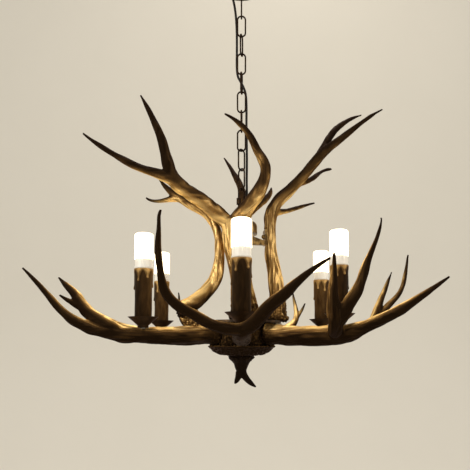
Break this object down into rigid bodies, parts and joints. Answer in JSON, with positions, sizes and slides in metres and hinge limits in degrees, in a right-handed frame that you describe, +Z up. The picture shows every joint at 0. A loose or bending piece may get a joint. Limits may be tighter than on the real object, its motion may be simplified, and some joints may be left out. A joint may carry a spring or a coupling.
{
  "type": "antler chandelier",
  "caption": "Antler chandelier: dark bronze resin antlers with golden highlights around a hub, candle lamps on dishes, hung on a chain from a round canopy.",
  "frame": {"origin": "on the ceiling, in the middle of the mounting crossbar's upper face", "axes": "+Z up, away from the room; -Y towards the side that the picture shows, +X to its right"},
  "size_m": [0.7066, 0.5052, 0.7954],
  "materials": {
    "antler_resin": "satin dark bronze with rubbed golden highlights",
    "dark_resin": "satin near black",
    "hub_resin": "satin, beaded rim",
    "bronze_metal": "satin oil-rubbed bronze",
    "dish_metal": "satin oil-rubbed bronze",
    "chain_metal": "satin dark bronze",
    "zinc_steel": "zinc plated",
    "sleeve_plastic": "satin dark bronze with golden wax drips",
    "white_plastic": "matte",
    "black_plastic": "matte",
    "black_rubber": "matte",
    "cord_plastic": "matte",
    "bulb_plastic": "smooth white",
    "bulb_frosted": "frosted, lit"
  },
  "bodies": {
    "ceiling": {"ceiling_crossbar": "zinc_steel", "canopy": "bronze_metal", "canopy_fasteners": "bronze_metal", "canopy_loop": "bronze_metal", "canopy_loop_nut": "zinc_steel", "terminal_block": "white_plastic", "cord_grommet": "black_rubber"},
    "top_link": {"top_link": "chain_metal"},
    "chain": {"chain_links": "chain_metal", "quick_link": "chain_metal", "quick_link_nut": "chain_metal", "power_cord": "cord_plastic"},
    "bulb_1": {"bulb_1_base": "bulb_plastic", "bulb_1_cover": "bulb_frosted"},
    "bulb_2": {"bulb_2_base": "bulb_plastic", "bulb_2_cover": "bulb_frosted"},
    "bulb_3": {"bulb_3_base": "bulb_plastic", "bulb_3_cover": "bulb_frosted"},
    "bulb_4": {"bulb_4_base": "bulb_plastic", "bulb_4_cover": "bulb_frosted"},
    "bulb_5": {"bulb_5_base": "bulb_plastic", "bulb_5_cover": "bulb_frosted"},
    "bulb_6": {"bulb_6_base": "bulb_plastic", "bulb_6_cover": "bulb_frosted"},
    "light": {"column_loop": "bronze_metal", "column_tube": "bronze_metal", "column_cap": "bronze_metal", "crown_bracket": "bronze_metal", "crown_screws": "bronze_metal", "hub_top_plate": "bronze_metal", "hub_drum": "bronze_metal", "column_lock_nut": "zinc_steel", "hub_bolts": "zinc_steel", "branch_standoff": "zinc_steel", "candle_nipples": "zinc_steel", "hub_bowl": "hub_resin", "finial": "dark_resin", "lampholders": "black_plastic", "lower_antler_front": "antler_resin", "lower_antler_front_right": "antler_resin", "lower_antler_back_right": "antler_resin", "lower_antler_back": "antler_resin", "lower_antler_back_left": "antler_resin", "lower_antler_front_left": "antler_resin", "upper_antler_left": "antler_resin", "upper_antler_right": "antler_resin", "upper_antler_back": "antler_resin", "upper_antler_branch": "antler_resin", "candle_dish_1": "dish_metal", "candle_sleeve_1": "sleeve_plastic", "candle_dish_2": "dish_metal", "candle_sleeve_2": "sleeve_plastic", "candle_dish_3": "dish_metal", "candle_sleeve_3": "sleeve_plastic", "candle_dish_4": "dish_metal", "candle_sleeve_4": "sleeve_plastic", "candle_dish_5": "dish_metal", "candle_sleeve_5": "sleeve_plastic", "candle_dish_6": "dish_metal", "candle_sleeve_6": "sleeve_plastic"}
  },
  "joints": [
    {"name": "swing_fore_aft", "type": "hinge", "parent": "ceiling", "child": "top_link", "pos_m": [0, 0, -0.0603], "axis": [1, 0, 0], "range_deg": [-12, 12], "deforming": ["power_cord"]},
    {"name": "swing_sideways", "type": "hinge", "parent": "top_link", "child": "chain", "pos_m": [0, 0, -0.0973], "axis": [0, 1, 0], "range_deg": [-12, 12], "deforming": ["power_cord"]},
    {"name": "light_turn", "type": "hinge", "parent": "chain", "child": "light", "pos_m": [0, 0, -0.4673], "axis": [0, 0, 1], "range_deg": [-20, 20], "deforming": ["power_cord"]},
    {"name": "bulb_1_unscrew", "type": "slide", "parent": "light", "child": "bulb_1", "axis": [0, 0, 1], "range_m": [0, 0.026]},
    {"name": "bulb_2_unscrew", "type": "slide", "parent": "light", "child": "bulb_2", "axis": [0, 0, 1], "range_m": [0, 0.026]},
    {"name": "bulb_3_unscrew", "type": "slide", "parent": "light", "child": "bulb_3", "axis": [0, 0, 1], "range_m": [0, 0.026]},
    {"name": "bulb_4_unscrew", "type": "slide", "parent": "light", "child": "bulb_4", "axis": [0, 0, 1], "range_m": [0, 0.026]},
    {"name": "bulb_5_unscrew", "type": "slide", "parent": "light", "child": "bulb_5", "axis": [0, 0, 1], "range_m": [0, 0.026]},
    {"name": "bulb_6_unscrew", "type": "slide", "parent": "light", "child": "bulb_6", "axis": [0, 0, 1], "range_m": [0, 0.026]}
  ]
}
